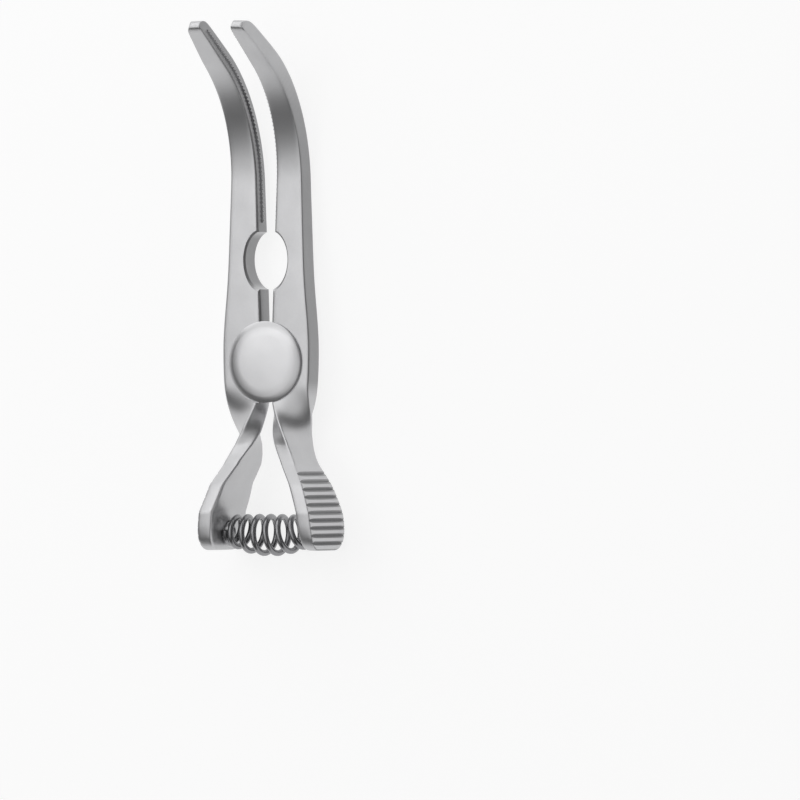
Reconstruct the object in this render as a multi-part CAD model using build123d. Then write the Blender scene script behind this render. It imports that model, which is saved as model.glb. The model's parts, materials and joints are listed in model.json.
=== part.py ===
from build123d import *
import math
import os

# Bulldog vascular clamp. Two forged halves turn on a rivet under a large round head,
# and a barrel spring between the finger plates closes the jaws.
# Everything is modelled in the clamp's own frame first: X across the clamp, Y along it
# towards the jaw tips, Z along the pivot towards the side the jaws bend to.
# Millimetres and degrees throughout.

# Whole clamp
body_thickness = 2.2        # of each half at the pivot
slit_half_gap = 0.45        # from the middle plane to each inner face, halves parallel
rest_opening = 4.0          # angle between the inner faces in the pose shown
edge_round = 0.34           # rounding of the long edges

# Jaws: straight, then bent towards +Z, then straight to the tips
bend_start = 17.0
bend_radius = 14.0
bend_angle = 55.0
tip_run = 6.0
jaw_root_outer = 3.87       # outer edge from the middle plane, beside the oval relief
jaw_mid_outer = 3.25        # at the start of the bend
jaw_bend_outer = 2.7        # at the end of the bend
tip_outer = 2.08
jaw_mid_thickness = 2.0
jaw_bend_thickness = 1.75
tip_thickness = 1.5
tip_round = 0.28            # rounding of the long edges near the tips
tip_taper = 1.8             # length over which the backs of the tips are rounded off

# Body beside the pivot
body_outer = 4.68
body_upper = 3.4            # where the body starts to narrow towards the jaws
body_lower = -2.0           # where it starts to turn into the shank

# Oval relief behind the jaws
oval_centre = 9.6
oval_length = 5.6
oval_half_width = 1.9

# Lengthwise ribs on the gripping faces: one on the left jaw, two on the right
rib_start = 13.2
rib_height = 0.26
rib_width = 0.22
rib_spacing = 0.64          # between the two ribs of the right jaw
rib_root = 0.3              # how deep the ribs reach into the jaws

# Shanks, which twist a quarter turn into the finger plates
twist_length = 7.6
twist_angle = 90.0
shank_centre = 2.42         # from the middle plane
shank_width = 3.55
shank_thickness = 2.0

# Finger plates
handle_reach = 17.6         # pivot to the plate ends
plate_width = 7.1
plate_thickness = 1.65
plate_widest = 3.6 - handle_reach
plate_centre = 5.69         # from the middle plane, at the widest place
plate_end_centre = 6.03
groove_count = 10
groove_pitch = 0.72
first_groove = 7.2 - handle_reach
groove_depth = 0.16
groove_margin = 0.2         # from the ends of the grooves to the rounded edges

# Pivot
disc_radius = 3.85
disc_thickness = 0.48
disc_bevel = 0.55
disc_dome = 0.1             # rise of the flat of the disc towards its middle
lug_radius = 3.4
lug_clearance = 0.1         # around each lug
layer_clearance = 0.02      # from the middle plane to each lug's sliding face
head_clearance = 0.03       # under both heads
shaft_radius = 1.0
shaft_clearance = 0.03      # in the half that turns
fixed_clearance = 0.01      # in the half that the rivet is fixed to, and in the washer
washer_radius = 2.7
washer_thickness = 0.4
peened_radius = 1.5
peened_height = 0.32

# Spring and the studs that hold its ends
wire = 0.58
spring_end_radius = 1.22    # to the middle of the wire
spring_middle_radius = 1.78
closed_turns = 1.0          # at each end
active_turns = 5.5
spring_sag = 0.45           # the spring bows away from the pivot
spring_height = 1.85 - handle_reach     # where its ends stand
spring_clearance = 0.05     # to the finger plates
stud_radius = 0.78
stud_height = 0.55
stud_pin_radius = 0.4
stud_pin_length = 0.5
stud_clearance = 0.01
spot_depth = 0.12           # flat spot under each stud, below the plate's surface
spot_margin = 0.1           # around the stud
points_per_turn = 12
slope_step = 0.5            # half the length over which a plate's slope is measured


def smooth(t):
    """Eased step from 0 to 1."""
    t = min(max(t, 0.0), 1.0)
    return t * t * (3 - 2 * t)


def between(stations, y):
    """Value at y from (y, value) pairs that run downwards in y."""
    for (y_a, a), (y_b, b) in zip(stations, stations[1:]):
        if y_b <= y <= y_a:
            return a + (b - a) * (y_a - y) / (y_a - y_b)
    return stations[-1][1]


# Path of the jaws in the plane of the bend
bend_length = math.radians(bend_angle) * bend_radius
jaw_length = bend_start + bend_length + tip_run


def jaw_point(s):
    """(y, z, slope in degrees) at the length s from the pivot along the jaw."""
    if s <= bend_start:
        return s, 0.0, 0.0
    turned = min((s - bend_start) / bend_radius, math.radians(bend_angle))
    beyond = max(s - bend_start - bend_length, 0.0)
    y = bend_start + bend_radius * math.sin(turned) + beyond * math.cos(turned)
    z = bend_radius * (1 - math.cos(turned)) + beyond * math.sin(turned)
    return y, z, math.degrees(turned)


def jaw_section(s, outer, thickness, inner=slit_half_gap, corner=edge_round, forward=0.0):
    """Cross-section of the right jaw, square to its path. forward moves it towards the front."""
    y, z, slope = jaw_point(s)
    along = Vector(0, math.cos(math.radians(slope)), math.sin(math.radians(slope)))
    plane = Plane(origin=((inner + outer) / 2, y, z), x_dir=(1, 0, 0), z_dir=along)
    return plane * Pos(0, -forward, 0) * RectangleRounded(outer - inner, thickness, corner)


# Outer ends of the shank and plate sections turn towards -Z, the inner ones towards +Z
def handle_section(y, centre, width, thickness, corner=edge_round):
    """Cross-section of the right shank or plate, square to the clamp's length."""
    turn = math.radians(twist_angle * smooth((body_lower - y) / twist_length))
    across = Vector(math.cos(turn), 0, -math.sin(turn))
    plane = Plane(origin=(centre, y, 0), x_dir=across, z_dir=(0, 1, 0))
    return plane * RectangleRounded(width, thickness, corner)


# Stations of the shank and plate, as (y, value) pairs
body_width = body_outer - slit_half_gap
body_centre = (body_outer + slit_half_gap) / 2
twist_end = body_lower - twist_length
plate_end = -handle_reach
width_stations = [
    (body_lower, body_width),
    (body_lower - 0.2 * twist_length, 0.55 * body_width + 0.45 * shank_width),
    (body_lower - 0.45 * twist_length, 0.98 * shank_width),
    (body_lower - 0.6 * twist_length, 0.95 * shank_width),
    (body_lower - 0.75 * twist_length, 1.05 * shank_width),
    (twist_end, 0.7 * plate_width),
    (0.6 * twist_end + 0.4 * plate_widest, 0.87 * plate_width),
    (plate_widest, plate_width),
    (plate_end + 2.4, 0.985 * plate_width),
    (plate_end + 1.1, 0.88 * plate_width),
    (plate_end + 0.3, 0.66 * plate_width),
    (plate_end, 0.48 * plate_width),
]
thickness_stations = [
    (body_lower, body_thickness),
    (body_lower - 0.45 * twist_length, 0.97 * shank_thickness),
    (body_lower - 0.6 * twist_length, shank_thickness),
    (twist_end, 1.04 * plate_thickness),
    (plate_widest, plate_thickness),
    (plate_end + 1.1, 0.95 * plate_thickness),
    (plate_end + 0.3, 0.8 * plate_thickness),
    (plate_end, 0.5 * plate_thickness),
]
centre_stations = [
    (body_lower, body_centre),
    (body_lower - 0.2 * twist_length, (body_centre + shank_centre) / 2 + 0.07),
    (body_lower - 0.4 * twist_length, shank_centre + 0.12),
    (body_lower - 0.65 * twist_length, shank_centre + 0.06),
    (body_lower - 0.85 * twist_length, shank_centre + 0.5),
    (twist_end, 0.7 * shank_centre + 0.3 * plate_centre + 0.05),
    (0.6 * twist_end + 0.4 * plate_widest, 0.33 * shank_centre + 0.67 * plate_centre),
    (plate_widest, plate_centre),
    (plate_end + 1.1, plate_end_centre),
    (plate_end, plate_end_centre + 0.02),
]


def right_blank():
    """The right half before its joint, relief and grooves are cut."""
    sections = [
        jaw_section(jaw_length, tip_outer - 0.46, 0.37 * tip_thickness, slit_half_gap + 0.14,
                    0.17 * tip_thickness, 0.2 * tip_thickness),
        jaw_section(jaw_length - 0.2, tip_outer - 0.18, 0.67 * tip_thickness,
                    corner=tip_round, forward=0.13 * tip_thickness),
        jaw_section(jaw_length - 0.8, tip_outer, 0.91 * tip_thickness,
                    corner=tip_round, forward=0.045 * tip_thickness),
        jaw_section(jaw_length - tip_taper, tip_outer + 0.12, tip_thickness, corner=tip_round),
        jaw_section(bend_start + bend_length, jaw_bend_outer, jaw_bend_thickness),
        jaw_section(bend_start + 0.66 * bend_length, 0.7 * jaw_bend_outer + 0.3 * jaw_mid_outer,
                    0.66 * jaw_bend_thickness + 0.34 * jaw_mid_thickness),
        jaw_section(bend_start + 0.33 * bend_length, 0.35 * jaw_bend_outer + 0.65 * jaw_mid_outer,
                    0.33 * jaw_bend_thickness + 0.67 * jaw_mid_thickness),
        jaw_section(bend_start, jaw_mid_outer, jaw_mid_thickness),
        jaw_section((bend_start + oval_centre) / 2, 0.55 * jaw_mid_outer + 0.45 * jaw_root_outer,
                    (jaw_mid_thickness + body_thickness) / 2),
        jaw_section(0.83 * oval_centre, jaw_root_outer, body_thickness),
        jaw_section(body_upper + 1.2, 0.4 * jaw_root_outer + 0.6 * body_outer, body_thickness),
        jaw_section(0.6 * body_upper, 0.99 * body_outer, body_thickness),
        jaw_section(0, body_outer, body_thickness),
    ]
    for y, width in width_stations:
        sections.append(handle_section(y, between(centre_stations, y), width,
                                       between(thickness_stations, y),
                                       min(edge_round, 0.3 * between(thickness_stations, y))))
    return loft(sections)


def drum(radius, low, high, x=0.0, y=0.0):
    """Upright cylinder from the height low to the height high."""
    return Pos(x, y, low) * Cylinder(radius, high - low, align=(Align.CENTER, Align.CENTER, Align.MIN))


half_thickness = body_thickness / 2
head_face = half_thickness + head_clearance
seat_face = half_thickness + head_clearance / 3
pocket_radius = lug_radius + lug_clearance
clear_of_all = 10.0


def head_seats():
    """Room under both heads, where the twist of the shanks would reach them."""
    seat_radius = disc_radius + lug_clearance
    return (drum(seat_radius, seat_face, clear_of_all)
            + drum(seat_radius, -clear_of_all, -seat_face))


def oval_cut():
    outline = Ellipse(oval_half_width, oval_length / 2)
    return Pos(0, oval_centre, -clear_of_all) * extrude(outline, 2 * clear_of_all)


def grip_rib(offset):
    """Rib along the gripping face, offset across the jaw, standing on the right inner face."""
    stop = jaw_length - tip_taper
    run = stop - bend_start - bend_length
    slope = math.radians(bend_angle)
    low, high = offset - rib_width / 2, offset + rib_width / 2
    path = []
    for side in (low, high):
        radius = bend_radius - side
        start = (rib_start, side)
        knee = (bend_start, side)
        end = (bend_start + radius * math.sin(slope), bend_radius - radius * math.cos(slope))
        last = (end[0] + run * math.cos(slope), end[1] + run * math.sin(slope))
        middle = (bend_start + radius * math.sin(slope / 2),
                  bend_radius - radius * math.cos(slope / 2))
        path.append((start, knee, middle, end, last))
    a, b = path
    outline = Wire([
        Edge.make_line(a[0], a[1]), Edge.make_three_point_arc(a[1], a[2], a[3]),
        Edge.make_line(a[3], a[4]), Edge.make_line(a[4], b[4]), Edge.make_line(b[4], b[3]),
        Edge.make_three_point_arc(b[3], b[2], b[1]), Edge.make_line(b[1], b[0]),
        Edge.make_line(b[0], a[0]),
    ])
    deep = Plane(origin=(slit_half_gap + rib_root, 0, 0), x_dir=(0, 1, 0), z_dir=(1, 0, 0))
    return extrude(deep * Face(outline), -(rib_root + rib_height))


def plate_outer(y):
    return between(centre_stations, y) + between(thickness_stations, y) / 2


def plate_inner(y):
    return between(centre_stations, y) - between(thickness_stations, y) / 2


def groove_cuts():
    """V-grooves across the outer face of the right finger plate."""
    side = groove_depth * math.sqrt(2)
    cuts = []
    for n in range(groove_count):
        y = first_groove - n * groove_pitch
        bar = Box(side, side, between(width_stations, y) - 2 * (edge_round + groove_margin))
        cuts.append(Pos(plate_outer(y), y, 0) * Rot(0, 0, 45) * bar)
    return cuts


# Seat of the spring on the right plate, square to its inner face
seat_slope = math.degrees(math.atan2(
    plate_inner(spring_height - slope_step) - plate_inner(spring_height + slope_step),
    2 * slope_step))
seat_x = plate_inner(spring_height) + spot_depth


def at_seat(shape):
    """Stands a shape, made along +Z, on the right seat so that it points inwards."""
    return Pos(seat_x, spring_height, 0) * Rot(0, -90, 0) * Rot(-seat_slope, 0, 0) * shape


def spot_and_hole():
    """Flat spot and blind hole for the stud."""
    spot = drum(stud_radius + spot_margin, 0, body_thickness)
    hole = drum(stud_pin_radius + stud_clearance, -stud_pin_length - spot_margin, spot_margin)
    return at_seat(spot + hole)


def stud():
    """Peg inside the spring's last turn, with a pin in the plate."""
    peg = drum(stud_radius, 0, stud_height)
    peg = chamfer(peg.edges().group_by(Axis.Z)[-1], 0.15)
    pin = drum(stud_pin_radius, -stud_pin_length, 0)
    return at_seat(peg + pin)


def turned_to_rest(shape, side):
    """Turns a half from parallel inner faces to the pose shown. side is 1 right, -1 left."""
    return Rot(0, 0, -side * rest_opening / 2) * shape


def finished_half(side):
    half = right_blank() - head_seats() - oval_cut() - spot_and_hole()
    half = half - groove_cuts()
    if side > 0:
        half = half + grip_rib(rib_spacing / 2) + grip_rib(-rib_spacing / 2)
        half = half - drum(pocket_radius, -layer_clearance, clear_of_all)
        half = half + drum(lug_radius, -seat_face, -layer_clearance)
        bore = shaft_radius + shaft_clearance
    else:
        half = half + grip_rib(0)
        half = mirror(half, Plane.YZ)
        half = half - drum(pocket_radius, -clear_of_all, layer_clearance)
        half = half + drum(lug_radius, layer_clearance, head_face)
        bore = shaft_radius + fixed_clearance
    half = half - drum(bore, -clear_of_all, clear_of_all)
    return turned_to_rest(half, side)


def dome(radius, rise, height, up):
    """Spherical cap on the Z axis whose rim is at the height given."""
    ball = (radius**2 + rise**2) / (2 * rise)
    centre = height + up * (rise - ball)
    cap = Pos(0, 0, centre) * Sphere(ball)
    low, high = (height, height + rise) if up > 0 else (height - rise, height)
    return cap & drum(radius + rise, low, high)


def pivot_rivet():
    """Bevelled head, shaft and peened end in one piece."""
    flat_radius = disc_radius - disc_bevel
    flat = head_face + disc_thickness - disc_dome
    rim = head_face + 0.45 * disc_thickness
    washer_back = -head_face - washer_thickness
    outline = Polyline((0, flat), (flat_radius, flat), (disc_radius, rim), (disc_radius, head_face),
                       (shaft_radius, head_face), (shaft_radius, washer_back), (0, washer_back),
                       close=True)
    turned = revolve(Plane.XZ * make_face(outline), axis=Axis.Z)
    return (turned + dome(flat_radius, disc_dome, flat, 1)
            + dome(peened_radius, peened_height, washer_back, -1))


def washer():
    ring = drum(washer_radius, -head_face - washer_thickness, -head_face)
    ring = chamfer(ring.edges().group_by(Axis.Z)[0], 0.4 * washer_thickness)
    return ring - drum(shaft_radius + fixed_clearance, -clear_of_all, clear_of_all)


def spring():
    """Barrel coil with closed ends on an axis that bows away from the pivot."""
    seat = turned_to_rest(Pos(seat_x - spot_depth, spring_height, 0) * Vertex(), 1).center()
    reach = seat.X - wire / 2 - spring_clearance
    turns = active_turns + 2 * closed_turns
    closed_run = closed_turns * wire
    pitch = (2 * reach - 2 * closed_run) / active_turns
    # the axis is a quartic that meets both seats squarely
    end_slope = math.tan(math.radians(seat_slope - rest_opening / 2))
    flattening = 1 - end_slope * reach / (2 * spring_sag)
    points = []
    count = round(turns * points_per_turn)
    for n in range(count + 1):
        turn = n * turns / count
        if turn < closed_turns:
            x = turn * wire - reach
        elif turn > turns - closed_turns:
            x = reach - (turns - turn) * wire
        else:
            x = closed_run - reach + (turn - closed_turns) * pitch
        share = x / reach
        bow = spring_sag * (1 - (1 + flattening) * share**2 + flattening * share**4)
        slope = 2 * spring_sag / reach * ((1 + flattening) * share - 2 * flattening * share**3)
        lean = math.atan(slope)
        radius = spring_middle_radius + (spring_end_radius - spring_middle_radius) * share**2
        angle = 2 * math.pi * turn + math.pi / 2
        up = radius * math.cos(angle)
        points.append((x - up * math.sin(lean), seat.Y - bow + up * math.cos(lean),
                       radius * math.sin(angle)))
    path = Spline(points)
    profile = Plane(origin=path @ 0, z_dir=path % 0) * Circle(wire / 2)
    return sweep(profile, path=path, is_frenet=True)


# The clamp lies on its back: the rear edges of the finger plates and the backs of the
# jaws, where they start to bend, touch the table
back_radius = bend_radius + jaw_mid_thickness / 2
to_bend = Vector(bend_start - plate_widest, bend_radius + plate_width / 2)
rest_tilt = math.degrees(math.atan2(to_bend.Y, to_bend.X)
                         - math.acos(0) + math.acos(back_radius / to_bend.length))


parts = {
    "left_arm": finished_half(-1),
    "right_arm": finished_half(1),
    "pivot_rivet": pivot_rivet(),
    "rear_washer": washer(),
    "left_spring_stud": turned_to_rest(mirror(stud(), Plane.YZ), -1),
    "right_spring_stud": turned_to_rest(stud(), 1),
    "spring": spring(),
}
tilted = {name: Rot(-rest_tilt, 0, 0) * shape for name, shape in parts.items()}
box = Compound(list(tilted.values())).bounding_box()
drop = Pos(-box.center().X, -box.center().Y, -box.min.Z)

os.makedirs("parts", exist_ok=True)
for name, shape in tilted.items():
    export_step(drop * shape, f"parts/{name}.step")

pivot = (drop * Rot(-rest_tilt, 0, 0) * Vertex(0, 0, 0)).center()
axis = Vector(0, 0, 1).rotate(Axis.X, -rest_tilt)
print("rest tilt", round(rest_tilt, 3), "size", box.size)
print("pivot at", pivot, "axis", axis)
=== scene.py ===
import json
import math

import bmesh
import bpy
from bpy.props import FloatProperty, FloatVectorProperty, IntProperty, PointerProperty
from mathutils import Matrix, Vector


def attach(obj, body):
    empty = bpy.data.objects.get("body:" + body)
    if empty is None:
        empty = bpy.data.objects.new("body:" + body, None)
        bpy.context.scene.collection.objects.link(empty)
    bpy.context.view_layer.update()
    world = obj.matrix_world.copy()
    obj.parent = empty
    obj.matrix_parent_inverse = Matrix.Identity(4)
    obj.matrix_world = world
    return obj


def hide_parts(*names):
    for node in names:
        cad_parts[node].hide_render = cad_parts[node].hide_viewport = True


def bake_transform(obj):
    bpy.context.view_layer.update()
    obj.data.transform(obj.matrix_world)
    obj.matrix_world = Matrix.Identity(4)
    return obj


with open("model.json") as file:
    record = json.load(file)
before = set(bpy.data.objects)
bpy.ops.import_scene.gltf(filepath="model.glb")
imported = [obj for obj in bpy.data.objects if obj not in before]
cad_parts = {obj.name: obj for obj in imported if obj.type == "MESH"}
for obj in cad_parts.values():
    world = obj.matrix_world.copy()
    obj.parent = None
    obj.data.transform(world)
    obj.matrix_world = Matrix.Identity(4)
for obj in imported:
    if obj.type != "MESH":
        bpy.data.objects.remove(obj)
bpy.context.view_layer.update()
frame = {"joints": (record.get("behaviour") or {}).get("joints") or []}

bl_info = {
    "name": "Bulldog Vascular Clamp",
    "version": (1, 0, 0),
    "blender": (4, 5, 0),
    "location": "View3D > Sidebar > Clamp",
    "description": "Models a small spring-closed vessel clamp around its fixed frame",
    "category": "Add Mesh",
}

# The clamp's own frame: X across it, Y along it to the jaw tips, Z along the pivot.
# The frame's joint says where that lies.
PIVOT = frame["joints"][0]
PIVOT_UP = -Vector(PIVOT["axis"])
LEAN = math.atan2(PIVOT_UP.y, PIVOT_UP.z)
TO_ROW = Matrix.Translation(PIVOT["pos_m"]) @ Matrix.Rotation(-LEAN, 4, "X")
MM = 0.001
HAIR = 0.01 * MM
BEYOND = 8 * MM             # past every surface beside the pivot, for cutters
ROUND, SMALL_ROUND = 96, 48     # sides of round pieces
DOME = 0.1 * MM             # rise of the flat of the head towards its middle
POINTS_PER_TURN = 16        # of the coil
SENSOR = 36.0               # width of the camera's sensor, in millimetres
LEFT, RIGHT = -1, 1


def length(name, description, millimetres):
    """A size that the user can change, shown in the scene's unit of length."""
    return FloatProperty(name=name, description=description, default=millimetres * MM,
                         unit="LENGTH", precision=5)


def angle(name, description, degrees):
    return FloatProperty(name=name, description=description, default=math.radians(degrees),
                         subtype="ANGLE")


def tint(name, description, grey):
    return FloatVectorProperty(name=name, description=description, default=grey,
                               subtype="COLOR", size=3, min=0, max=1)


class ArmSizes(bpy.types.PropertyGroup):
    thickness: length("Body thickness", "Thickness of each half at the pivot", 2.2)
    slit: length("Half slit", "From the middle plane to each inner face, halves parallel", 0.45)
    opening: angle("Rest opening", "Angle between the inner faces at rest", 4.0)
    corner: length("Edge rounding", "Rounding of the long edges at the pivot", 0.34)
    bend_start: length("Bend start", "Length of straight jaw from the pivot", 17.0)
    bend_radius: length("Bend radius", "Radius of the bend of the jaws", 14.0)
    bend_angle: angle("Bend angle", "Turn of the bend of the jaws", 55.0)
    tip_run: length("Tip run", "Straight length beyond the bend", 6.0)
    body_outer: length("Body half width", "Middle plane to the outer edge at the pivot", 4.68)
    root_outer: length("Jaw root half width", "The same beside the oval relief", 3.87)
    mid_outer: length("Jaw half width", "The same at the start of the bend", 3.25)
    bend_outer: length("Upper jaw half width", "The same at the end of the bend", 2.7)
    tip_outer: length("Tip half width", "The same near the tip", 2.08)
    mid_thickness: length("Jaw thickness", "Thickness at the start of the bend", 2.0)
    upper_thickness: length("Upper jaw thickness", "Thickness at the end of the bend", 1.75)
    tip_thickness: length("Tip thickness", "Thickness near the tip", 1.5)
    tip_taper: length("Tip taper", "Length over which the back of the tip is rounded off", 1.8)
    upper: length("Body top", "Above the pivot, where the body starts to narrow", 3.4)
    lower: length("Body end", "Below the pivot, where the body turns into the shank", 2.0)
    twist_length: length("Twist length", "Length of the quarter turn of the shank", 7.6)
    shank_centre: length("Shank centre", "From the middle plane", 2.42)
    shank_width: length("Shank width", "Broad side of the shank", 3.55)
    shank_thickness: length("Shank thickness", "Narrow side of the shank", 2.0)
    reach: length("Handle reach", "Pivot to the ends of the finger plates", 17.6)
    plate_width: length("Plate width", "Broad side of the finger plate", 7.1)
    plate_thickness: length("Plate thickness", "Narrow side of the finger plate", 1.65)
    plate_widest: length("Plate middle", "Below the pivot, where the plate is widest", 14.0)
    plate_centre: length("Plate centre", "From the middle plane, where it is widest", 5.69)
    plate_end_centre: length("Plate end centre", "From the middle plane, at its end", 6.03)


class GripSizes(bpy.types.PropertyGroup):
    oval_centre: length("Oval centre", "Pivot to the middle of the oval relief", 9.6)
    oval_length: length("Oval length", "Length of the oval relief", 5.6)
    oval_half_width: length("Oval half width", "Middle plane to the bottom of the relief", 1.9)
    oval_flare: length("Oval flare", "Break of the edges of the relief", 0.2)
    teeth_start: length("Teeth start", "Pivot to the first tooth of the jaws", 13.2)
    tooth_pitch: length("Tooth pitch", "From tooth to tooth", 0.42)
    tooth_height: length("Tooth height", "Crest above the jaw's face", 0.26)
    tooth_depth: length("Tooth depth", "Crest above the root between teeth", 0.18)
    row_width: length("Row width", "Width of a row of teeth", 0.22)
    row_spacing: length("Row spacing", "Between the two rows of the right jaw", 0.64)
    groove_count: IntProperty(name="Grooves", description="Grooves on a finger plate",
                              default=10, min=1)
    groove_pitch: length("Groove pitch", "From groove to groove", 0.72)
    groove_first: length("First groove", "Below the pivot", 10.4)
    groove_depth: length("Groove depth", "Depth of a groove", 0.23)


class PivotSizes(bpy.types.PropertyGroup):
    head_radius: length("Head radius", "Radius of the round head", 3.85)
    head_thickness: length("Head thickness", "Height of the head over its seat", 0.48)
    head_bevel: length("Head bevel", "Width of the bevelled rim", 0.55)
    head_gap: length("Head gap", "Running gap under the heads", 0.03)
    lug_radius: length("Lug radius", "Radius of the lap lugs", 3.4)
    lug_gap: length("Lug gap", "Running gap round the lugs", 0.1)
    layer_gap: length("Layer gap", "Middle plane to each sliding face", 0.02)
    shaft_radius: length("Shaft radius", "Radius of the rivet's shaft", 1.0)
    shaft_gap: length("Shaft gap", "Running gap round the shaft", 0.03)
    washer_radius: length("Washer radius", "Radius of the rear washer", 2.7)
    washer_thickness: length("Washer thickness", "Thickness of the rear washer", 0.4)
    tail_radius: length("Peened radius", "Radius of the peened end", 1.5)
    tail_height: length("Peened height", "Height of the peened end", 0.32)


class SpringSizes(bpy.types.PropertyGroup):
    wire: length("Wire", "Diameter of the wire", 0.58)
    end_radius: length("End radius", "Coil radius at the ends, to the wire's middle", 1.22)
    middle_radius: length("Middle radius", "Coil radius at the middle", 1.78)
    sag: length("Bow", "How far the coil bows away from the pivot", 0.45)
    height: length("Seat", "Below the pivot, where the coil stands on the plates", 15.75)
    gap: length("End gap", "Between the coil and the plates", 0.05)
    closed_turns: FloatProperty(name="Closed turns", description="At each end", default=1.0)
    active_turns: FloatProperty(name="Active turns", description="Open turns", default=5.5)
    stud_radius: length("Stud radius", "Radius of the peg inside the coil", 0.78)
    stud_height: length("Stud height", "Height of the peg", 0.55)
    pin_length: length("Pin length", "Part of the peg inside the plate", 0.5)
    spot_depth: length("Spot depth", "Depth of the flat spot under the peg", 0.12)
    spot_margin: length("Spot margin", "Width of the flat spot around the peg", 0.1)


class FinishColours(bpy.types.PropertyGroup):
    satin: tint("Satin steel", "Blasted surface of the two halves", (0.60, 0.60, 0.61))
    turned: tint("Turned steel", "Head, washer and studs", (0.64, 0.64, 0.65))
    drawn: tint("Drawn wire", "Wire of the spring", (0.32, 0.32, 0.33))
    ground: tint("Floor", "Floor and background", (1.0, 1.0, 1.0))


def own_sizes():
    """The sizes of the halves, their grips, the pivot and the spring."""
    scene = bpy.context.scene
    return scene.clamp_arms, scene.clamp_grip, scene.clamp_pivot, scene.clamp_spring


def smooth_step(t):
    t = min(max(t, 0.0), 1.0)
    return t * t * (3 - 2 * t)


def mix(a, b, share):
    return a + (b - a) * share


# Shader maths

class Field:
    """A shader socket that sums and products can be written on."""

    def __init__(self, tree, socket):
        self.tree = tree
        self.socket = socket

    def _math(self, operation, other):
        node = self.tree.nodes.new("ShaderNodeMath")
        node.operation = operation
        self.tree.links.new(self.socket, node.inputs[0])
        if isinstance(other, Field):
            self.tree.links.new(other.socket, node.inputs[1])
        else:
            node.inputs[1].default_value = other
        return Field(self.tree, node.outputs[0])

    def __add__(self, other):
        return self._math("ADD", other)

    def __mul__(self, other):
        return self._math("MULTIPLY", other)

    __radd__ = __add__
    __rmul__ = __mul__


class Shading:
    """The nodes of a material or of the sky."""

    def __init__(self, owner):
        owner.use_nodes = True
        self.tree = owner.node_tree

    def fill(self, socket, value):
        """Links a socket to a field, or sets it to a plain value."""
        if isinstance(value, Field):
            self.tree.links.new(value.socket, socket)
        else:
            socket.default_value = value

    def node(self, kind, settings=None, sockets=None, output=0):
        """Adds a node, sets it up, then fills its sockets. Returns one of its outputs."""
        node = self.tree.nodes.new(kind)
        for key, value in (settings or {}).items():
            if key == "stops":
                self.set_stops(node.color_ramp, value)
            else:
                setattr(node, key, value)
        for key, value in (sockets or {}).items():
            self.fill(node.inputs[key], value)
        return Field(self.tree, node.outputs[output])

    def set_stops(self, ramp, stops):
        """Gives a ramp its eased greys, as (position, grey) pairs."""
        ramp.interpolation = "EASE"
        while len(ramp.elements) < len(stops):
            ramp.elements.new(0.5)
        for element, (position, grey) in zip(ramp.elements, stops):
            element.position = position
            element.color = (grey, grey, grey, 1)


class Finish(Shading):
    """A material under construction."""

    def __init__(self, name):
        self.material = bpy.data.materials.new(name)
        super().__init__(self.material)
        self.shader = self.tree.nodes["Principled BSDF"]

    def set(self, sockets):
        """Sets or links sockets of the shader."""
        for key, value in sockets.items():
            self.fill(self.shader.inputs[key], value)

    def noise(self, scale, detail):
        """Noise between 0 and 1, with about scale features to the metre."""
        place = self.node("ShaderNodeTexCoord", output="Object")
        return self.node("ShaderNodeTexNoise", None,
                         {"Vector": place, "Scale": scale, "Detail": detail})

    def painted(self, name):
        """A value that the mesh carries."""
        return self.node("ShaderNodeAttribute", {"attribute_name": name}, output="Fac")

    def tinted(self, colour, amount):
        """The colour, darkened by up to the amount given as a field."""
        dark = [0.3 * part for part in colour]
        return self.node("ShaderNodeMix", {"data_type": "RGBA"},
                         {0: amount, 6: (*colour, 1), 7: (*dark, 1)}, output=2)

    def pitted(self, height, strength):
        """The shader's normal, roughened by the field of heights."""
        bumps = {"Height": height, "Strength": strength, "Distance": 0.02 * MM}
        return self.node("ShaderNodeBump", None, bumps)


def satin_steel(colour):
    """Bead-blasted forging: cloudy tone, fine pitted grain, and painted shade on the flanks and in
    the grooves.
    """
    finish = Finish("blasted_finish")
    clouds = finish.noise(350, 4)
    grain = finish.noise(5200, 2)
    # painted shade: the flanks and the grooves are darkened in the base colour in place of their
    # shading
    shaded = finish.painted("flank") * 0.6 + finish.painted("groove") * 0.6
    finish.set({
        "Base Color": finish.tinted(colour, clouds * 0.1 + grain * 0.06 + shaded),
        "Metallic": 0.9,
        "Roughness": clouds * 0.10 + grain * 0.06 + 0.28,
        "Normal": finish.pitted(grain, 0.10),
    })
    return finish.material


def turned_steel(colour):
    """Turned and lightly polished steel."""
    finish = Finish("turned_finish")
    clouds = finish.noise(500, 3)
    grain = finish.noise(7000, 2)
    finish.set({
        "Base Color": finish.tinted(colour, clouds * 0.08 + grain * 0.04),
        "Metallic": 0.9,
        "Roughness": clouds * 0.08 + 0.26,
        "Normal": finish.pitted(grain, 0.06),
    })
    return finish.material


def spring_steel(colour):
    """Drawn wire, darker and smoother than the forgings."""
    finish = Finish("wire_finish")
    clouds = finish.noise(900, 3)
    grain = finish.noise(6000, 2)
    finish.set({
        "Base Color": finish.tinted(colour, clouds * 0.2 + grain * 0.08),
        "Metallic": 0.95,
        "Roughness": clouds * 0.12 + 0.2,
        "Normal": finish.pitted(grain, 0.06),
    })
    return finish.material


# Modelling by hand

def deselect_all():
    bpy.ops.object.select_all(action="DESELECT")


def activate(piece):
    deselect_all()
    piece.select_set(True)
    bpy.context.view_layer.objects.active = piece


def edit(piece):
    activate(piece)
    bpy.ops.object.mode_set(mode="EDIT")
    bpy.ops.mesh.select_all(action="DESELECT")
    bpy.ops.mesh.select_mode(type="FACE")


def done():
    bpy.ops.object.mode_set(mode="OBJECT")


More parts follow.
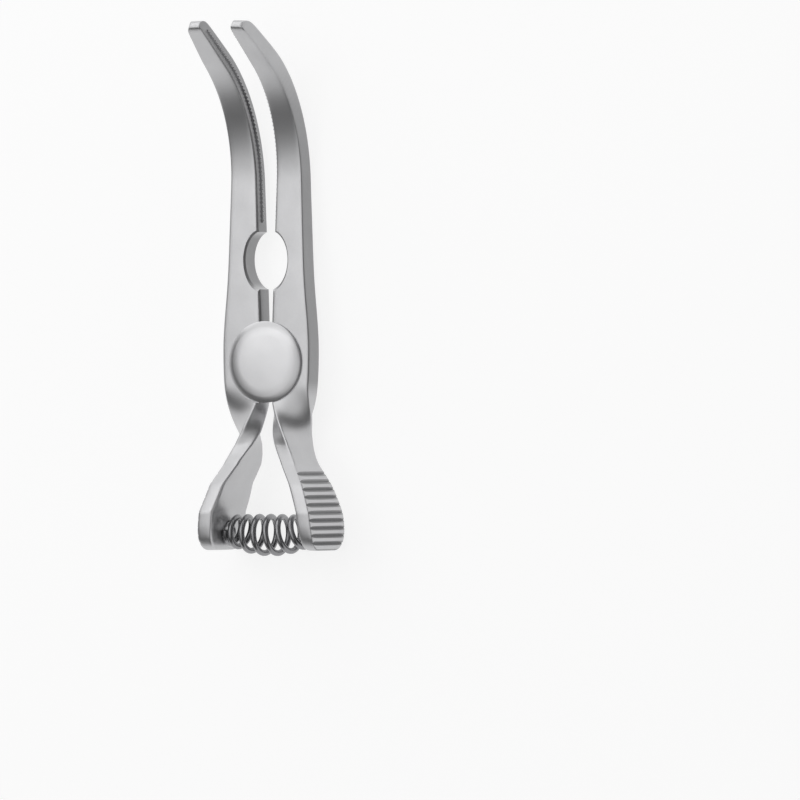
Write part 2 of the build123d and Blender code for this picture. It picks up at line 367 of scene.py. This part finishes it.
def pick_faces(piece, wanted):
    """Selects the faces for which wanted(centre, normal) is true, in edit mode."""
    shape = bmesh.from_edit_mesh(piece.data)
    for face in shape.faces:
        face.select_set(wanted(face.calc_center_median(), face.normal))
    bmesh.update_edit_mesh(piece.data)


def extrude_to(before, after):
    """Extrudes the selected section from one station to the next."""
    x0, y0, width0, thickness0, z0 = before
    x1, y1, width1, thickness1, z1 = after
    bpy.ops.mesh.extrude_region_move(
        TRANSFORM_OT_translate={"value": (x1 - x0, y1 - y0, z1 - z0)})
    bpy.ops.transform.resize(value=(width1 / width0, 1, thickness1 / thickness0),
                             center_override=(x1, y1, z1))


def finish_modifier(piece, kind, **settings):
    """Adds a modifier and applies it. Something of the piece must be left."""
    activate(piece)
    modifier = piece.modifiers.new(kind.title(), kind)
    for key, value in settings.items():
        setattr(modifier, key, value)
    bpy.ops.object.modifier_apply(modifier=modifier.name)
    if not piece.data.polygons:
        raise RuntimeError(f"nothing is left of {piece.name} after its {kind} modifier")


def carve(piece, tool, operation="DIFFERENCE"):
    finish_modifier(piece, "BOOLEAN", operation=operation, object=tool, solver="EXACT")
    bpy.data.objects.remove(tool)


def bake_place(piece):
    """Moves the object's place, turn and scale into its mesh."""
    activate(piece)
    bpy.ops.object.transform_apply(location=True, rotation=True, scale=True)


def outward(piece):
    """Merges doubles and points all faces outwards."""
    edit(piece)
    bpy.ops.mesh.select_all(action="SELECT")
    bpy.ops.mesh.remove_doubles(threshold=0.0005 * MM)
    bpy.ops.mesh.normals_make_consistent(inside=False)
    done()


def lathe(name, rings, sides=ROUND):
    """A closed round piece on the Z axis, from its lowest ring (radius, height) upwards."""
    deselect_all()
    radius, height = rings[0]
    bpy.ops.mesh.primitive_circle_add(vertices=sides, radius=radius, fill_type="NGON",
                                      location=(0, 0, height))
    piece = bpy.context.object
    piece.name = name
    bake_place(piece)
    edit(piece)
    bpy.ops.mesh.select_all(action="SELECT")
    for next_radius, next_height in rings[1:]:
        bpy.ops.mesh.extrude_region_move(
            TRANSFORM_OT_translate={"value": (0, 0, next_height - height)})
        scale = next_radius / radius
        bpy.ops.transform.resize(value=(scale, scale, 1), center_override=(0, 0, next_height))
        radius, height = next_radius, next_height
    done()
    outward(piece)
    return piece


def drum(radius, low, high, sides=ROUND):
    """An upright cylinder on the Z axis."""
    return lathe("drum", [(radius, low), (radius, high)], sides)


def open_to_rest(piece, side):
    """Turns a half from parallel inner faces to its rest pose."""
    arms = bpy.context.scene.clamp_arms
    piece.data.transform(Matrix.Rotation(-side * arms.opening / 2, 4, "Z"))


def give_finish(piece, steel, smooth_to):
    """Puts a finished piece into the frame's place and shades it. Edges up to smooth_to degrees
    are shaded smooth."""
    piece.data.transform(TO_ROW)
    piece.data.materials.clear()
    piece.data.materials.append(steel)
    activate(piece)
    bpy.ops.object.shade_smooth_by_angle(angle=math.radians(smooth_to))


def settle(piece, node, body, steel):
    """Finishes a piece that rides on one body and stands for one node of the frame."""
    give_finish(piece, steel, 32)
    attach(piece, body)
    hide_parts(node)


def material(name, make, colour):
    """A finish by its name, made only once."""
    return bpy.data.materials.get(name) or make(colour)


# The two halves

def jaw_stations(arms):
    """Sections of the right half from the pivot to the jaw tip, before it is bent.
    A section is (centre x, y, width, thickness, shift to the front)."""
    thick, tip_thick = arms.thickness, arms.tip_thickness
    bend = arms.bend_radius * arms.bend_angle
    bend_end = arms.bend_start + bend
    tip = bend_end + arms.tip_run
    oval = bpy.context.scene.clamp_grip.oval_centre
    slit = arms.slit
    rows = [
        (0, slit, arms.body_outer, thick, 0),
        (0.6 * arms.upper, slit, 0.99 * arms.body_outer, thick, 0),
        (arms.upper + 1.2 * MM, slit, mix(arms.body_outer, arms.root_outer, 0.4), thick, 0),
        (0.83 * oval, slit, arms.root_outer, thick, 0),
        (0.5 * (arms.bend_start + oval), slit, mix(arms.mid_outer, arms.root_outer, 0.45),
         mix(thick, arms.mid_thickness, 0.5), 0),
        (arms.bend_start, slit, arms.mid_outer, arms.mid_thickness, 0),
        (arms.bend_start + 0.33 * bend, slit, mix(arms.mid_outer, arms.bend_outer, 0.35),
         mix(arms.mid_thickness, arms.upper_thickness, 0.33), 0),
        (arms.bend_start + 0.66 * bend, slit, mix(arms.mid_outer, arms.bend_outer, 0.7),
         mix(arms.mid_thickness, arms.upper_thickness, 0.66), 0),
        (bend_end, slit, arms.bend_outer, arms.upper_thickness, 0),
        (mix(bend_end, tip - arms.tip_taper, 0.5), slit, mix(arms.bend_outer, arms.tip_outer, 0.4),
         mix(arms.upper_thickness, tip_thick, 0.5), 0),
        (tip - arms.tip_taper, slit, arms.tip_outer + 0.12 * MM, tip_thick, 0),
        (tip - 0.95 * MM, slit, arms.tip_outer, 0.94 * tip_thick, 0.03 * tip_thick),
        (tip - 0.5 * MM, slit, arms.tip_outer - 0.1 * MM, 0.82 * tip_thick, 0.08 * tip_thick),
        (tip - 0.2 * MM, slit + 0.05 * MM, arms.tip_outer - 0.26 * MM, 0.62 * tip_thick,
         0.14 * tip_thick),
        (tip - 0.05 * MM, slit + 0.14 * MM, arms.tip_outer - 0.46 * MM, 0.4 * tip_thick,
         0.18 * tip_thick),
        (tip, slit + 0.3 * MM, arms.tip_outer - 0.7 * MM, 0.2 * tip_thick, 0.2 * tip_thick),
    ]
    return [((inner + outer) / 2, y, outer - inner, thickness, forward)
            for y, inner, outer, thickness, forward in rows]


def handle_stations(arms):
    """Sections of the right half from the body to the plate's end, before it is twisted."""
    body_width = arms.body_outer - arms.slit
    body_centre = (arms.body_outer + arms.slit) / 2
    low, twist = arms.lower, arms.twist_length
    turn_end = low + twist
    end = arms.reach
    shank, plate = arms.shank_width, arms.plate_width
    flat, thin = arms.shank_thickness, arms.plate_thickness
    centre, spread = arms.shank_centre, arms.plate_centre
    rows = [
        (low, body_centre, body_width, arms.thickness),
        (low + 0.2 * twist, mix(body_centre, centre, 0.5) + 0.07 * MM, mix(shank, body_width, 0.5),
         mix(arms.thickness, flat, 0.45)),
        (low + 0.4 * twist, centre + 0.12 * MM, shank, flat),
        (low + 0.5 * twist, centre + 0.1 * MM, 0.97 * shank, flat),
        (low + 0.6 * twist, centre + 0.06 * MM, 0.95 * shank, flat),
        (low + 0.75 * twist, centre + 0.27 * MM, 1.05 * shank, mix(flat, 1.04 * thin, 0.38)),
        (low + 0.88 * twist, centre + 0.62 * MM, mix(1.05 * shank, 0.7 * plate, 0.5),
         mix(flat, 1.04 * thin, 0.7)),
        (turn_end, mix(centre, spread, 0.3) + 0.05 * MM, 0.7 * plate, 1.04 * thin),
        (mix(turn_end, arms.plate_widest, 0.4), mix(centre, spread, 0.67), 0.87 * plate,
         1.02 * thin),
        (arms.plate_widest, spread, plate, thin),
        (end - 2.2 * MM, mix(spread, arms.plate_end_centre, 0.6), plate, thin),
        (end - 1.1 * MM, arms.plate_end_centre, 0.93 * plate, 0.95 * thin),
        (end - 0.35 * MM, arms.plate_end_centre + 0.01 * MM, 0.78 * plate, 0.85 * thin),
        (end - 0.05 * MM, arms.plate_end_centre + 0.02 * MM, 0.62 * plate, 0.66 * thin),
        (end, arms.plate_end_centre + 0.02 * MM, 0.5 * plate, 0.4 * thin),
    ]
    return [(x, -y, width, thickness, 0) for y, x, width, thickness in rows]


def section_at(stations, y):
    """Interpolated (centre x, width, thickness) at y, from stations that run either way."""
    for a, b in zip(stations, stations[1:]):
        if min(a[1], b[1]) <= y <= max(a[1], b[1]):
            share = (y - a[1]) / (b[1] - a[1])
            return tuple(mix(a[i], b[i], share) for i in (0, 2, 3))
    raise ValueError(f"no section at {y / MM:.2f} mm")


def arm_blank(arms):
    """The right half as a straight, flat bar with rounded edges."""
    up, down = jaw_stations(arms), handle_stations(arms)
    x, y, width, thickness, _ = up[0]
    deselect_all()
    bpy.ops.mesh.primitive_plane_add(size=1, location=(x, y, 0),
                                     rotation=(math.radians(90), 0, 0))
    blank = bpy.context.object
    blank.scale = (width, thickness, 1)
    bake_place(blank)
    edit(blank)
    bpy.ops.mesh.select_all(action="SELECT")
    bpy.ops.mesh.bevel(offset=arms.corner, segments=3, affect="VERTICES")
    bpy.ops.mesh.select_all(action="SELECT")
    for before, after in zip(up, up[1:]):
        extrude_to(before, after)
    pick_faces(blank, lambda centre, normal: abs(centre.y - y) < HAIR and abs(normal.y) > 0.9)
    for before, after in zip([up[0]] + down, down):
        extrude_to(before, after)
    done()
    outward(blank)
    finish_modifier(blank, "SUBSURF", levels=3, render_levels=3)
    return blank


def cut_grooves(blank, arms, grip):
    """V-grooves across the face of the flat plate that becomes its outer face."""
    stations = handle_stations(arms)
    side = math.sqrt(2) * grip.groove_depth
    for n in range(grip.groove_count):
        y = -grip.groove_first - n * grip.groove_pitch
        x, width, thickness = section_at(stations, y)
        deselect_all()
        bpy.ops.mesh.primitive_cube_add(size=1, location=(x, y, thickness / 2),
                                        rotation=(math.radians(45), 0, 0),
                                        scale=(1.2 * width, side, side))
        bar = bpy.context.object
        bake_place(bar)
        carve(blank, bar)


def tooth_row(arms, grip, offset):
    """A rack of fine teeth on the gripping face of the flat jaw."""
    tip = arms.bend_start + arms.bend_radius * arms.bend_angle + arms.tip_run
    count = int((tip - 1.2 * MM - grip.teeth_start) / grip.tooth_pitch)
    run = count * grip.tooth_pitch
    crest = arms.slit - grip.tooth_height
    deselect_all()
    bpy.ops.mesh.primitive_grid_add(x_subdivisions=1, y_subdivisions=2 * count, size=1,
                                    location=(crest, grip.teeth_start + run / 2, offset),
                                    rotation=(0, math.radians(-90), 0))
    row = bpy.context.object
    row.scale = (grip.row_width, run, 1)
    bake_place(row)
    edit(row)
    bpy.ops.mesh.select_mode(type="VERT")
    shape = bmesh.from_edit_mesh(row.data)
    for vertex in shape.verts:
        step = round((vertex.co.y - grip.teeth_start) / (grip.tooth_pitch / 2))
        vertex.select_set(step % 2 == 0)
    bmesh.update_edit_mesh(row.data)
    bpy.ops.transform.translate(value=(grip.tooth_depth, 0, 0))
    bpy.ops.mesh.select_mode(type="FACE")
    bpy.ops.mesh.select_all(action="SELECT")
    root = grip.tooth_height + 0.3 * MM
    bpy.ops.mesh.extrude_region_move(TRANSFORM_OT_translate={"value": (root, 0, 0)})
    bpy.ops.transform.resize(value=(0, 1, 1), center_override=(crest + root, 0, 0))
    done()
    outward(row)
    return row


def bend_and_twist(piece, arms):
    """Bends the jaw up and turns the shank, point by point, from the straight bar."""
    stations = handle_stations(arms)
    turn_end = arms.lower + arms.twist_length
    for vertex in piece.data.vertices:
        x, y, z = vertex.co
        if y > arms.bend_start:
            turned = min((y - arms.bend_start) / arms.bend_radius, arms.bend_angle)
            beyond = y - arms.bend_start - turned * arms.bend_radius
            path_y = arms.bend_start + arms.bend_radius * math.sin(turned)
            path_z = arms.bend_radius * (1 - math.cos(turned))
            vertex.co.y = path_y + beyond * math.cos(turned) - z * math.sin(turned)
            vertex.co.z = path_z + beyond * math.sin(turned) + z * math.cos(turned)
        elif y < -arms.lower:
            centre = section_at(stations, max(y, -arms.reach))[0]
            turn = math.radians(90) * smooth_step((-y - arms.lower) / (turn_end - arms.lower))
            across = x - centre
            vertex.co.x = centre + across * math.cos(turn) + z * math.sin(turn)
            vertex.co.z = z * math.cos(turn) - across * math.sin(turn)


def mark_painted_groove_shade(blank, grip):
    """Records which faces of the flat blank are in its grooves, where the material paints shade.
    """
    # the groove mask darkens these faces in the base colour: painted shade in the recesses
    groove = blank.data.attributes.new("groove", "FLOAT", "FACE")
    for face in blank.data.polygons:
        steep = abs(face.normal.y) > 0.5 and face.normal.z > 0.5
        if steep and face.center.y < grip.groove_pitch - grip.groove_first:
            groove.data[face.index].value = 1


def mark_painted_flank_shade(piece, arms, side):
    """Records which faces of a half are its narrow flanks, where the material paints shade on
    them. The painted shade fades out towards the shank, and on the outside towards the tip too."""
    # the flank mask darkens the sides in the base colour: painted shade
    flank = piece.data.attributes.new("flank", "FLOAT", "FACE")
    for face in piece.data.polygons:
        y = face.center.y
        sideways = smooth_step((abs(face.normal.x) - 0.45) / 0.4)
        share = smooth_step((y + 1.8 * arms.lower) / arms.lower)
        if face.normal.x * side > 0:
            share *= 1 - 0.7 * smooth_step((y - 1.35 * arms.bend_start) / arms.tip_run)
        flank.data[face.index].value = sideways * share


def oval_tool(arms, grip):
    """Oval cutter whose ends flare, so that the relief's edges are broken."""
    half, flare = arms.thickness / 2, grip.oval_flare
    grown = 1 + 4 * flare / grip.oval_half_width
    plain = 1 + flare / grip.oval_half_width
    reach = 3 * flare
    tool = lathe("oval", [(grown, -half - reach), (plain, -half), (1, -half + flare),
                          (1, half - flare), (plain, half), (grown, half + reach)])
    tool.scale = (grip.oval_half_width, grip.oval_length / 2, 1)
    tool.location = (0, grip.oval_centre, 0)
    bake_place(tool)
    return tool


def seat_frame(side):
    """Matrix that stands a piece, made along +Z, on a plate's spring seat, pointing inwards."""
    arms, _, _, spring = own_sizes()
    stations = handle_stations(arms)
    step = 0.5 * MM

    def inner(y):
        centre, _, thickness = section_at(stations, y)
        return centre - thickness / 2

    slope = math.atan2(inner(-spring.height - step) - inner(-spring.height + step), 2 * step)
    seat = Vector((inner(-spring.height) + spring.spot_depth, -spring.height, 0))
    turned = (Matrix.Rotation(-arms.opening / 2, 4, "Z") @ Matrix.Translation(seat)
              @ Matrix.Rotation(math.radians(-90), 4, "Y") @ Matrix.Rotation(-slope, 4, "X"))
    return turned if side == RIGHT else Matrix.Scale(-1, 4, (1, 0, 0)) @ turned


def finish_half(side):
    """One half of the clamp, in the clamp's own frame at rest."""
    arms, grip, pivot, spring = own_sizes()
    half = arm_blank(arms)
    half.name = "left_half_forging" if side == LEFT else "right_half_forging"
    cut_grooves(half, arms, grip)
    mark_painted_groove_shade(half, grip)
    offsets = (0.0,) if side == LEFT else (-grip.row_spacing / 2, grip.row_spacing / 2)
    for offset in offsets:
        carve(half, tooth_row(arms, grip, offset), "UNION")
    bend_and_twist(half, arms)

    thick = arms.thickness / 2
    seat = thick + pivot.head_gap / 3
    carve(half, oval_tool(arms, grip))
    for low, high in ((seat, BEYOND), (-BEYOND, -seat)):
        carve(half, drum(pivot.head_radius + pivot.lug_gap, low, high))
    pocket = pivot.lug_radius + pivot.lug_gap
    if side == RIGHT:
        carve(half, drum(pocket, -pivot.layer_gap, BEYOND))
        carve(half, drum(pivot.lug_radius, -seat, -pivot.layer_gap), "UNION")
    else:
        # the left half is a mirror image, with its lug in the other layer
        half.data.transform(Matrix.Scale(-1, 4, (1, 0, 0)))
        outward(half)
        carve(half, drum(pocket, -BEYOND, pivot.layer_gap))
        carve(half, drum(pivot.lug_radius, pivot.layer_gap, thick + pivot.head_gap), "UNION")
    carve(half, drum(pivot.shaft_radius + pivot.shaft_gap, -BEYOND, BEYOND, SMALL_ROUND))
    open_to_rest(half, side)
    spot = drum(spring.stud_radius + spring.spot_margin, 0, arms.plate_thickness, SMALL_ROUND)
    spot.data.transform(seat_frame(side))
    outward(spot)
    carve(half, spot)
    mark_painted_flank_shade(half, arms, side)
    return half


class ClampHalves(bpy.types.Operator):
    """Model the two forged halves, with their jaws, lugs, shanks and finger plates"""

    bl_idname = "clamp.halves"
    bl_label = "Forged halves"

    def execute(self, context):
        colours = context.scene.clamp_colours
        steel = material("blasted_finish", satin_steel, colours.satin)
        settle(finish_half(LEFT), "left_arm", "left_half", steel)
        settle(finish_half(RIGHT), "right_arm", "right_half", steel)
        return {"FINISHED"}


class ClampPivot(bpy.types.Operator):
    """Model the rivet with its round head, and the washer that it is peened over"""

    bl_idname = "clamp.pivot"
    bl_label = "Pivot rivet and washer"

    def execute(self, context):
        arms, _, pivot, _ = own_sizes()
        steel = material("turned_finish", turned_steel, context.scene.clamp_colours.turned)
        seat = arms.thickness / 2 + pivot.head_gap
        back = -seat - pivot.washer_thickness
        top = seat + pivot.head_thickness
        radius, flat = pivot.head_radius, pivot.head_radius - pivot.head_bevel
        tail = pivot.tail_radius
        crease = 0.05 * MM
        shoulder = top - DOME
        rivet = lathe("pivot_head", [
            (0.35 * tail, back - pivot.tail_height),
            (0.7 * tail, back - 0.8 * pivot.tail_height),
            (0.92 * tail, back - 0.4 * pivot.tail_height),
            (tail, back),
            (pivot.shaft_radius, back),
            (pivot.shaft_radius, seat),
            (radius - 0.8 * crease, seat),
            (radius, seat + 0.8 * crease),
            (radius, seat + 0.4 * pivot.head_thickness),
            (radius - crease, seat + 0.5 * pivot.head_thickness),
            (flat + crease, shoulder - 0.4 * crease),
            (flat - crease, shoulder + 0.2 * crease),
            (0.75 * flat, top - 0.55 * DOME),
            (0.5 * flat, top - 0.25 * DOME),
            (0.25 * flat, top - 0.06 * DOME),
            (0.05 * flat, top),
        ], 128)
        settle(rivet, "pivot_rivet", "left_half", steel)
        hole = pivot.shaft_radius + pivot.shaft_gap / 3
        edge = 0.3 * pivot.washer_thickness
        washer = lathe("washer_ring", [
            (pivot.washer_radius - edge, back),
            (pivot.washer_radius, back + edge),
            (pivot.washer_radius, -seat),
        ])
        carve(washer, drum(hole, -2 * seat, 2 * seat))
        settle(washer, "rear_washer", "left_half", steel)
        return {"FINISHED"}


class ClampStuds(bpy.types.Operator):
    """Model the two studs that hold the ends of the spring"""

    bl_idname = "clamp.studs"
    bl_label = "Spring studs"

    def execute(self, context):
        spring = context.scene.clamp_spring
        steel = material("turned_finish", turned_steel, context.scene.clamp_colours.turned)
        radius, height = spring.stud_radius, spring.stud_height
        edge = 0.15 * MM
        for side, node, body in ((LEFT, "left_spring_stud", "left_half"),
                                 (RIGHT, "right_spring_stud", "right_half")):
            peg = lathe(node + "_peg", [
                (0.5 * radius, -spring.pin_length),
                (0.5 * radius, 0),
                (radius, 0),
                (radius, height - edge),
                (radius - 0.4 * edge, height - 0.3 * edge),
                (radius - edge, height),
                (0.3 * radius, height),
            ], SMALL_ROUND)
            peg.data.transform(seat_frame(side))
            outward(peg)
            settle(peg, node, body, steel)
        return {"FINISHED"}


def coil_points(spring, seat, inward, reach):
    """Points along the middle of the wire. Its ends stand reach from the middle plane, beside
    the seat, and inward is the direction that the right seat faces."""
    turns = spring.active_turns + 2 * spring.closed_turns
    closed_run = spring.closed_turns * spring.wire
    pitch = (2 * reach - 2 * closed_run) / spring.active_turns
    # the axis is a quartic that meets both seats squarely
    end_slope = abs(inward.y / inward.x)
    flattening = 1 - end_slope * reach / (2 * spring.sag)
    points = []
    for n in range(round(turns * POINTS_PER_TURN) + 1):
        turn = n / POINTS_PER_TURN
        if turn < spring.closed_turns:
            x = turn * spring.wire - reach
        elif turn > turns - spring.closed_turns:
            x = reach - (turns - turn) * spring.wire
        else:
            x = closed_run - reach + (turn - spring.closed_turns) * pitch
        share = x / reach
        bow = spring.sag * (1 - (1 + flattening) * share**2 + flattening * share**4)
        slope = 2 * spring.sag / reach * ((1 + flattening) * share - 2 * flattening * share**3)
        lean = math.atan(slope)
        radius = mix(spring.middle_radius, spring.end_radius, share**2)
        around = 2 * math.pi * turn + math.pi / 2
        up = radius * math.cos(around)
        points.append((x - up * math.sin(lean), seat.y - bow + up * math.cos(lean),
                       radius * math.sin(around)))
    return points


def wind_wire(name, points, wire):
    """A mesh tube of the wire along a smooth line through the points."""
    curve = bpy.data.curves.new(name, "CURVE")
    curve.dimensions = "3D"
    spline = curve.splines.new("NURBS")
    spline.points.add(len(points) - 1)
    for point, place in zip(spline.points, points):
        point.co = (*place, 1)
    spline.order_u = 4
    spline.use_endpoint_u = True
    spline.resolution_u = 3
    curve.bevel_depth = wire / 2
    curve.bevel_resolution = 5
    curve.use_fill_caps = True
    coil = bpy.data.objects.new(name, curve)
    bpy.context.collection.objects.link(coil)
    activate(coil)
    bpy.ops.object.convert(target="MESH")
    coil = bpy.context.object
    outward(coil)
    return coil


class ClampSpring(bpy.types.Operator):
    """Wind the barrel spring between the finger plates"""

    bl_idname = "clamp.spring"
    bl_label = "Barrel spring"

    def execute(self, context):
        spring = context.scene.clamp_spring
        steel = material("wire_finish", spring_steel, context.scene.clamp_colours.drawn)
        right_seat = seat_frame(RIGHT)
        seat = right_seat @ Vector((0, 0, spring.spot_depth))
        inward = right_seat.to_3x3() @ Vector((0, 0, 1))
        reach = seat.x - spring.wire / 2 - spring.gap
        coil = wind_wire("barrel_coil", coil_points(spring, seat, inward, reach), spring.wire)
        give_finish(coil, steel, 40)
        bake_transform(coil)
        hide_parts("spring")
        return {"FINISHED"}


# The stage

class StageSettings(bpy.types.PropertyGroup):
    view_turn: angle("View turn", "Turn of the view about the clamp's length", 27.5)
    lens: FloatProperty(name="Lens", description="Focal length, in millimetres", default=500.0)
    frame_width: length("Frame width", "Width of the picture at the clamp", 75.61)
    across: length("Across", "Middle of the picture from the pivot", 12.19)
    along: length("Along", "The same, along the clamp", -3.59)
    key: FloatProperty(name="Key light", description="Brightness of the key light", default=0.4)
    fill: FloatProperty(name="Fill light", description="Brightness of the fill light",
                        default=1.0)
    sky: FloatProperty(name="Sky", description="Strength of the sky overhead", default=0.85)
    shade: FloatProperty(name="Shade", description="Strength of the dark band of the sky",
                         default=0.08)
    rim: FloatProperty(name="Rim", description="Strength of the sky at the horizon", default=0.9)


# Lamps, from the pivot in the clamp's own frame
KEY_PLACE, KEY_SIZE = Vector((-0.09, 0.0, 0.18)), 0.09
FILL_PLACE, FILL_SIZE = Vector((-0.15, 0.30, 0.28)), 0.6


def soft_lamp(name, place, target, size, brightness):
    """A square lamp whose face is as bright as given, whatever its size."""
    lamp = bpy.data.lights.new(name, "AREA")
    lamp.size = size
    lamp.energy = math.pi * size**2 * brightness
    holder = bpy.data.objects.new(name, lamp)
    holder.location = place
    holder.rotation_euler = (target - place).to_track_quat("-Z", "Y").to_euler()
    bpy.context.collection.objects.link(holder)


class ClampStage(bpy.types.Operator):
    """Set the floor, the lights and the camera"""

    bl_idname = "clamp.stage"
    bl_label = "Studio stage"

    def execute(self, context):
        scene = context.scene
        stage = scene.clamp_stage
        deselect_all()
        bpy.ops.mesh.primitive_plane_add(size=4.0, location=(0, 0, 0))
        floor = context.object
        floor.name = "floor"
        floor.data.materials.append(floor_material(scene.clamp_colours.ground))

        turn = TO_ROW.to_3x3()
        back = turn @ Vector((math.sin(stage.view_turn), 0, math.cos(stage.view_turn)))
        up = turn @ Vector((0, 1, 0))
        right = up.cross(back)
        pivot = Vector(PIVOT["pos_m"])
        eye = bpy.data.cameras.new("camera")
        eye.lens = stage.lens
        eye.sensor_width = SENSOR
        eye.clip_start = 0.01
        camera = bpy.data.objects.new("camera", eye)
        scene.collection.objects.link(camera)
        distance = stage.frame_width * stage.lens / SENSOR
        place = pivot + right * stage.across + up * stage.along + back * distance
        axes = Matrix((right, up, back)).transposed()
        camera.matrix_world = Matrix.Translation(place) @ axes.to_4x4()
        scene.camera = camera

        soft_lamp("key", pivot + turn @ KEY_PLACE, pivot, KEY_SIZE, stage.key)
        soft_lamp("fill", pivot + turn @ FILL_PLACE, pivot, FILL_SIZE, stage.fill)
        make_sky(scene, stage)
        scene.view_settings.view_transform = "Standard"
        return {"FINISHED"}


def floor_material(colour):
    """White to the camera and in reflections, and it keeps the clamp's shadow."""
    finish = Finish("floor")
    finish.set({"Base Color": (*colour, 1), "Roughness": 0.9, "Specular IOR Level": 0.0})
    seen = sum(finish.node("ShaderNodeLightPath", output=kind) for kind in
               ("Is Camera Ray", "Is Glossy Ray", "Is Transmission Ray"))
    lit = Field(finish.tree, finish.shader.outputs[0])
    glow = finish.node("ShaderNodeEmission", None, {"Strength": 1.08})
    blend = finish.node("ShaderNodeMixShader", None, {0: seen * 0.75, 1: lit, 2: glow})
    finish.fill(finish.tree.nodes["Material Output"].inputs["Surface"], blend)
    return finish.material


def make_sky(scene, stage):
    """Pale overhead and at the horizon, with the dark band of a light tent between them."""
    scene.world = bpy.data.worlds.new("sky")
    sky = Shading(scene.world)
    direction = sky.node("ShaderNodeTexCoord", output="Generated")
    height = sky.node("ShaderNodeSeparateXYZ", None, {"Vector": direction}, output="Z")
    bands = ((0.14, stage.rim), (0.36, stage.shade), (0.72, stage.shade), (0.94, stage.sky))
    tone = sky.node("ShaderNodeValToRGB", {"stops": bands}, {"Fac": height})
    sky.fill(sky.tree.nodes["Background"].inputs["Color"], tone)


class ClampPanel(bpy.types.Panel):
    bl_idname = "VIEW3D_PT_bulldog_clamp"
    bl_label = "Bulldog Clamp"
    bl_space_type = "VIEW_3D"
    bl_region_type = "UI"
    bl_category = "Clamp"

    def draw(self, context):
        for operator in OPERATORS:
            self.layout.operator(operator.bl_idname)
        for name in GROUPS:
            group = getattr(context.scene, name)
            box = self.layout.box()
            for key in group.__annotations__:
                box.prop(group, key)


OPERATORS = (ClampHalves, ClampPivot, ClampStuds, ClampSpring, ClampStage)
GROUPS = {
    "clamp_arms": ArmSizes,
    "clamp_grip": GripSizes,
    "clamp_pivot": PivotSizes,
    "clamp_spring": SpringSizes,
    "clamp_colours": FinishColours,
    "clamp_stage": StageSettings,
}


def register():
    for made in (*GROUPS.values(), *OPERATORS, ClampPanel):
        bpy.utils.register_class(made)
    for name, group in GROUPS.items():
        setattr(bpy.types.Scene, name, PointerProperty(type=group))


def unregister():
    for name in GROUPS:
        delattr(bpy.types.Scene, name)
    for made in reversed((*GROUPS.values(), *OPERATORS, ClampPanel)):
        bpy.utils.unregister_class(made)


def main():
    register()
    bpy.ops.clamp.halves()
    bpy.ops.clamp.pivot()
    bpy.ops.clamp.studs()
    bpy.ops.clamp.spring()
    bpy.ops.clamp.stage()


if __name__ == "__main__":
    main()
